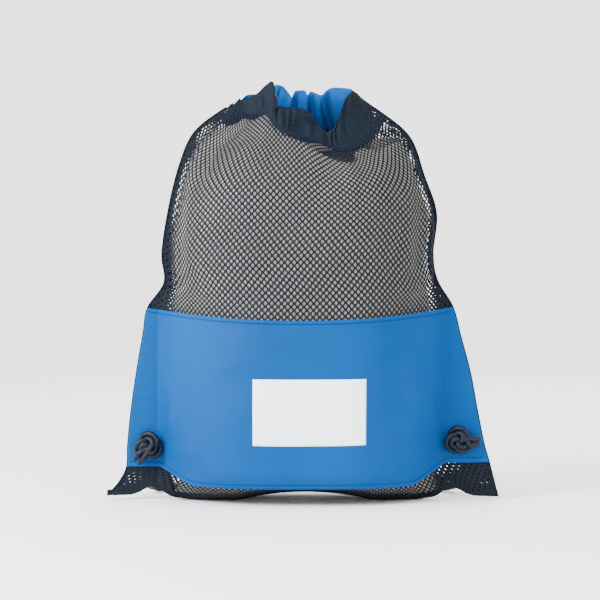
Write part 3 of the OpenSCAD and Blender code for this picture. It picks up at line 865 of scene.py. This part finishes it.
# ---------------------------------------------------------------- stitching
def stitches(name, line, normals, material, body, length=2.4 * MM, gap=0.7 * MM, radius=0.24 * MM):
    """Short lengths of thread laid along a line, each sinking at its ends."""
    total = line_length(line)
    count = max(1, int(total / (length + gap)))
    along = np.concatenate([[0], np.cumsum(np.linalg.norm(np.diff(line, axis=0), axis=1))])
    parts = []
    turn = np.arange(6) / 6 * TAU
    for k in range(count):
        at = k * (length + gap) + np.linspace(0, 1, 5) * length
        p = np.stack([np.interp(at, along, line[:, c]) for c in range(3)], -1)
        n = unit(np.stack([np.interp(at, along, normals[:, c]) for c in range(3)], -1))
        ahead = unit(np.gradient(p, axis=0))
        side_way = unit(np.cross(ahead, n))
        sink = np.array([-1, 0.5, 1, 0.5, -1]) * radius * 0.7
        r = np.array([0.35, 0.95, 1, 0.95, 0.35]) * radius
        ring = (p + n * sink[:, None])[:, None] + r[:, None, None] * (
            np.cos(turn)[None, :, None] * side_way[:, None] + np.sin(turn)[None, :, None] * n[:, None])
        faces = list(map(tuple, grid_faces(5, 6, wrap=True)))
        faces.append(tuple(range(5, -1, -1)))
        faces.append(tuple(range(24, 30)))
        parts.append((ring.reshape(-1, 3), faces))
    points, faces = joined(parts)
    obj = mesh_object(name, points, faces, material)
    if body:
        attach(obj, body)
    return obj


def row_line(u_values, v, side, lift):
    u = np.asarray(u_values, float)
    vv = np.broadcast_to(np.asarray(v, float), u.shape)
    return cloth(u, vv, side, lift), outward(u, vv, side)


row_u = np.linspace(-0.985, 0.985, 300)
for name, v in (("band_top_stitching", BAND_HIGH - 0.16), ("band_bottom_stitching", BAND_LOW + 0.24)):
    line, normals = row_line(row_u, v, FRONT, 0.95 * MM)
    stitches(name, line, normals, blue_thread, "bag")


# ---------------------------------------------------------------- seams
def seam_fold(name, path, inward, node, width):
    """A turned seam: a rolled edge with its flat allowance behind it."""
    path = evenly(path, 2 * MM)
    along = np.linspace(0, 1, len(path))
    given = np.linspace(0, 1, len(inward))
    inward_x = np.interp(along, given, inward[:, 0])[:, None]
    inward_z = np.interp(along, given, inward[:, 1])[:, None]
    inward_way = unit(inward_x * [1, 0, 0] + inward_z * [0, 0, 1])
    turn = np.linspace(0, TAU, 10, endpoint=False)
    out = 1.1 * MM * np.maximum(0, -np.cos(turn)) + width * np.maximum(0, np.cos(turn))
    flat_half = np.where(np.cos(turn) > 0.5, 0.5 * MM, 1.25 * MM) * np.sign(np.sin(turn))
    flat_half = np.where(np.abs(np.sin(turn)) < 1e-6, 0, flat_half)
    ripple = 0.35 * MM * np.sin(np.arange(len(path)) * 0.9)
    reach = out * np.where(np.cos(turn) > 0, 1, -1)
    points = (path[:, None] + inward_way[:, None] * reach[None, :, None]
              + np.array([0, 1, 0]) * (flat_half[None, :, None] + ripple[:, None, None] * 0.5))
    n, k = len(path), len(turn)
    faces = list(map(tuple, grid_faces(n, k, wrap=True)))
    faces.append(tuple(range(k - 1, -1, -1)))
    faces.append(tuple(range((n - 1) * k, n * k)))
    obj = mesh_object(name, points, faces, seam_cloth)
    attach(obj, "bag")
    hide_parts(node)
    return obj


seam_v = np.linspace(0, 12.9, 180)
for hand, edge in (("left", -1), ("right", 1)):
    path = skin(np.full_like(seam_v, edge), seam_v, FRONT) * [1, 0, 1]
    inward = np.column_stack([np.full(len(path), -edge), np.zeros(len(path))]).astype(float)
    seam_fold(hand + "_seam_fold", path, inward, hand + "_side_seam", 4.5 * MM)
bottom_u = np.linspace(-1, 1, 160)
bottom_path = skin(bottom_u, np.zeros_like(bottom_u), FRONT) * [1, 0, 1] + [0, 0, 1.2 * MM]
bottom_inward = np.column_stack([np.zeros(160), np.ones(160)])
seam_fold("bottom_seam_fold", bottom_path, bottom_inward, "bottom_seam", 4 * MM)

# ---------------------------------------------------------------- mouth
# The rim's own line, from the left corner to the right, in millimetres
FRONT_RIM = [
    [-55, 0, 359], [-48, -8, 361], [-41, -15, 363.5], [-36, -19, 368], [-31, -23, 371.8],
    [-27.5, -25, 373.8], [-25, -26.5, 371], [-26, -27, 363], [-27, -28, 353], [-19, -29, 351],
    [-11, -29, 350.5], [-3, -29, 350], [3, -29, 348.5],
    [8, -29, 344.5], [14, -30, 336.5], [19, -30, 331], [22.5, -29, 329.5], [27, -28.5, 332.5],
    [32, -27, 341.5], [35, -25, 350], [38, -22, 358], [42, -15, 363.5], [45.5, -9, 366.5], [54, 0, 361],
]
BACK_RIM = [
    [-55, 0, 359], [-50, 7, 364], [-42, 14, 365.5], [-36, 20, 367], [-29, 24, 371], [-24, 27, 375],
    [-17.5, 28, 373.5], [-12, 26, 367], [-9.5, 22, 363.5], [-7, 26, 369], [-2, 28, 370], [2.5, 27, 369.5],
    [5, 22, 365.5], [7.5, 27, 369], [13, 27, 367], [17.5, 23, 365.5], [21.5, 27, 369.5], [27, 29, 372.5],
    [36, 24, 372], [46, 11, 369], [54, 0, 361],
]
MOUTH_COLUMNS, MOUTH_ROWS = 220, 26


def rim_curve(points, columns):
    p = np.array(points) * MM
    steps = np.abs(np.diff(p[:, 0])) + 0.35 * np.abs(np.diff(p[:, 2])) + 0.3 * np.abs(np.diff(p[:, 1]))
    at = np.concatenate([[0], np.cumsum(steps)])
    fine = catmull(p, 600)
    fine_at = np.interp(np.linspace(0, len(p) - 1, 600), np.arange(len(p)), at / at[-1])
    w = np.linspace(0, 1, columns)
    return np.stack([np.interp(w, fine_at, fine[:, k]) for k in range(3)], -1)


def mouth_face(side):
    """The casing's outer face: from the top of the net up to the rim."""
    w = np.linspace(0, 1, MOUTH_COLUMNS)
    u = 2 * w - 1
    low = cloth(u, net_top(u, side) - 0.05, side, 0.3 * MM)
    above = cloth(u, net_top(u, side) + 0.2, side, 0.3 * MM)
    rim = rim_curve(FRONT_RIM if side == FRONT else BACK_RIM, MOUTH_COLUMNS)
    reach = np.linalg.norm(rim - low, axis=1, keepdims=True)
    middle = low + unit(above - low) * reach * 0.5
    t = np.linspace(0, 1, MOUTH_ROWS)[:, None, None]
    face = (1 - t) ** 2 * low + 2 * t * (1 - t) * middle + t ** 2 * rim
    way = np.array([0, side, 0.25])
    inside = smooth(np.minimum(w, 1 - w) / 0.08)
    phase = TAU * 15 * w + 2.2 * np.sin(TAU * 3 * w + side) + 1.1 * np.sin(TAU * 7 * w)
    pleats = 0.9 * MM * np.sin(phase) * inside
    envelope = smooth(t[..., 0] * 2.2) * (1 - 0.45 * smooth((t[..., 0] - 0.75) * 4))
    tunnel = 2.2 * MM * np.sin(np.pi * np.clip(t[..., 0], 0, 1)) ** 0.8 * inside[None]
    return face + way * (pleats[None] * envelope + tunnel)[..., None]


# Where the casing's holes stay open enough to see through, as (x, z, reach) in millimetres
OPEN_PATCHES = {
    FRONT: [(-63, 349, 9), (-9, 334, 8), (6, 340, 5), (66, 350, 9), (84, 336, 9), (64, 321, 8)],
    BACK: [(-63, 349, 10), (66, 350, 10), (84, 336, 10), (0, 345, 14)],
}


def casing_net(face, side, shift, depth):
    """A close layer of net over the casing, gathered so that its holes almost shut."""
    rows, columns = face.shape[:2]
    wide = np.linalg.norm(np.diff(face, axis=1), axis=-1).mean(0).sum()
    high = np.linalg.norm(np.diff(face, axis=0), axis=-1).sum(0).mean()
    across, upward = int(wide / (1.9 * MM)), int(high / (2.1 * MM))
    i, j = np.meshgrid(np.arange(0, across + 1), np.arange(0, upward + 1))
    keep = (i + j) % 2 == 0
    i, j = i[keep], j[keep]

    def at(nodes):
        a = np.clip((nodes[:, 1] + shift) / upward, 0, 1) * (rows - 1)
        b = np.clip((nodes[:, 0] + shift) / across, 0, 1) * (columns - 1)
        return np.stack([grid_sample(face[..., k], a, b) for k in range(3)], -1)

    centre = at(np.stack([i, j], -1).astype(float))
    share = np.full(len(i), 0.42)
    for x, z, reach in OPEN_PATCHES[side]:
        share += 0.75 * bell(np.hypot(centre[:, 0] / MM - x, centre[:, 2] / MM - z), 0, reach)
    share = np.minimum(share, 1.15)

    def place(nodes, lifts):
        return at(nodes) + np.array([0, side, 0]) * (lifts[:, None] * 0.8 - depth)

    points, quads = ring_net(i, j, place, share)
    return points, quads[:, ::-1] if side == BACK else quads


def channel_line(face, side, share, behind):
    """The line of a cord inside the casing, this share of the way up."""
    row = share * (MOUTH_ROWS - 1)
    b = np.linspace(10, MOUTH_COLUMNS - 11, 160)
    line = np.stack([grid_sample(face[..., k], np.full(160, row), b) for k in range(3)], -1)
    for _ in range(14):
        line[1:-1] = (line[:-2] + 2 * line[1:-1] + line[2:]) / 4
    return evenly(line - np.array([0, side, 0]) * behind, 0.9 * MM)


LINING_START = {FRONT: 0.5, BACK: -0.1}
LINING_SPAN = {FRONT: (0.05, 0.93), BACK: (0.02, 0.9)}
# The modelled cloth holds only the folds that are seen, so it is narrower than the panel.
# The casing is one net folded double.
mouth_sides = (
    (FRONT, "front_casing_cloth", ("front_casing", "left_casing_end"), "front_lining_cloth",
     ("front_lining", "left_lining_end")),
    (BACK, "back_casing_cloth", ("back_casing", "right_casing_end"), "back_lining_cloth",
     ("back_lining", "right_lining_end")),
)
for side, casing_name, casing_nodes, lining_name, lining_nodes in mouth_sides:
    face = mouth_face(side)
    layers = [casing_net(face, side, 0.0, 0.0), casing_net(face, side, 0.5, 0.9 * MM)]
    points, quads = joined(layers)
    casing = mesh_object(casing_name, points, quads, casing_yarn)
    follow_rim(casing)
    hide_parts(*casing_nodes)
    seam_u = np.linspace(-0.97, 0.97, 260)
    line = cloth(seam_u, net_top(seam_u, side) + 0.03, side, 1.6 * MM)
    hem = stitches(casing_name.split("_")[0] + "_casing_stitching", line,
                   outward(seam_u, net_top(seam_u, side), side), navy_thread, None)
    follow_rim(hem)
    # the lining meets the casing at the rim and stands off it round the cords
    t = np.linspace(LINING_START[side], 1, MOUTH_ROWS)[:, None]
    w = np.linspace(*LINING_SPAN[side], MOUTH_COLUMNS)[None]
    at_row, at_column = np.broadcast_arrays(t * (MOUTH_ROWS - 1), w * (MOUTH_COLUMNS - 1))
    lining_face = np.stack([grid_sample(face[..., k], at_row, at_column) for k in range(3)], -1)
    lining_face[..., 2] -= 30 * MM * np.maximum(0, -t)
    inside = smooth(np.minimum(w, 1 - w) / 0.1)
    stand_off = 1.4 * MM + 8.5 * MM * np.sin(np.pi * np.clip(1 - t, 0, 0.97) ** 0.75) ** 0.7 * inside
    creases = (bell(w, 0.655, 0.008) + bell(w, 0.70, 0.009) + 0.6 * bell(w, 0.56, 0.01)
               + 0.5 * bell(w, 0.47, 0.008) + 0.5 * bell(w, 0.31, 0.01))
    folds = 0.7 * MM * np.sin(TAU * 8 * w + 2 * np.sin(TAU * 2 * w + 1)) - 3.0 * MM * creases
    stand_off = stand_off + folds * smooth((1 - t) * 3) * inside
    lining_face = lining_face - np.array([0, side, 0]) * np.maximum(stand_off, 1.3 * MM)[..., None]
    top = smooth((t - 0.86) / 0.14)[..., None]
    lining_face = lining_face + np.array([0, 0, 0.6 * MM]) * top
    thick = np.array([0, side, 0]) * 0.4 * MM
    points, faces = thick_sheet(lining_face, lining_face - thick, flip=side == BACK)
    uv = sheet_uv(lining_face).reshape(-1, 2)
    lining = mesh_object(lining_name, points, faces, lining_cloth, uv=np.concatenate([uv] * 2))
    follow_rim(lining)
    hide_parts(*lining_nodes)
    for level, share in (("upper", 0.66), ("lower", 0.3)):
        word = "front" if side == FRONT else "back"
        line = channel_line(face, side, share, 4.4 * MM)
        points, faces = braided_tube(line, CORD_D / 2, sides=12)
        cord = mesh_object(word + "_drawcord_" + level, points, faces, cord_braid)
        follow_rim(cord)
        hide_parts(word + "_casing_cord_" + level)

# ---------------------------------------------------------------- floor and light
floor_mesh = bpy.data.meshes.new("floor")
floor_mesh.from_pydata([(-6, -6, 0), (6, -6, 0), (6, 6, 0), (-6, 6, 0)], [], [(0, 1, 2, 3)])
floor = bpy.data.objects.new("floor", floor_mesh)
bpy.context.scene.collection.objects.link(floor)
floor_paint = Nodes("floor_paint")
floor_paint.set(Base_Color=(0.93, 0.93, 0.93, 1), Roughness=0.9)
floor_mesh.materials.append(floor_paint.material)


def area_light(name, place, target, size, power, colour=(1, 1, 1)):
    data = bpy.data.lights.new(name, "AREA")
    data.size = size
    data.energy = power
    data.color = colour
    light = bpy.data.objects.new(name, data)
    light.location = place
    way = np.array(target) - np.array(place)
    light.rotation_euler = (np.arctan2(np.hypot(way[0], way[1]), -way[2]), 0, np.arctan2(-way[0], way[1]))
    bpy.context.scene.collection.objects.link(light)


area_light("key", (-1.15, -0.95, 0.85), (0, 0, 0.17), 0.7, 62)
area_light("fill", (1.4, -1.6, 0.9), (0, 0, 0.18), 1.4, 8)
area_light("rim", (0.4, 1.6, 1.4), (0, 0, 0.2), 1.0, 16)
world = bpy.data.worlds.new("world")
bpy.context.scene.world = world
world.use_nodes = True
world.node_tree.nodes["Background"].inputs["Color"].default_value = (1, 1, 1, 1)
world.node_tree.nodes["Background"].inputs["Strength"].default_value = 2.8
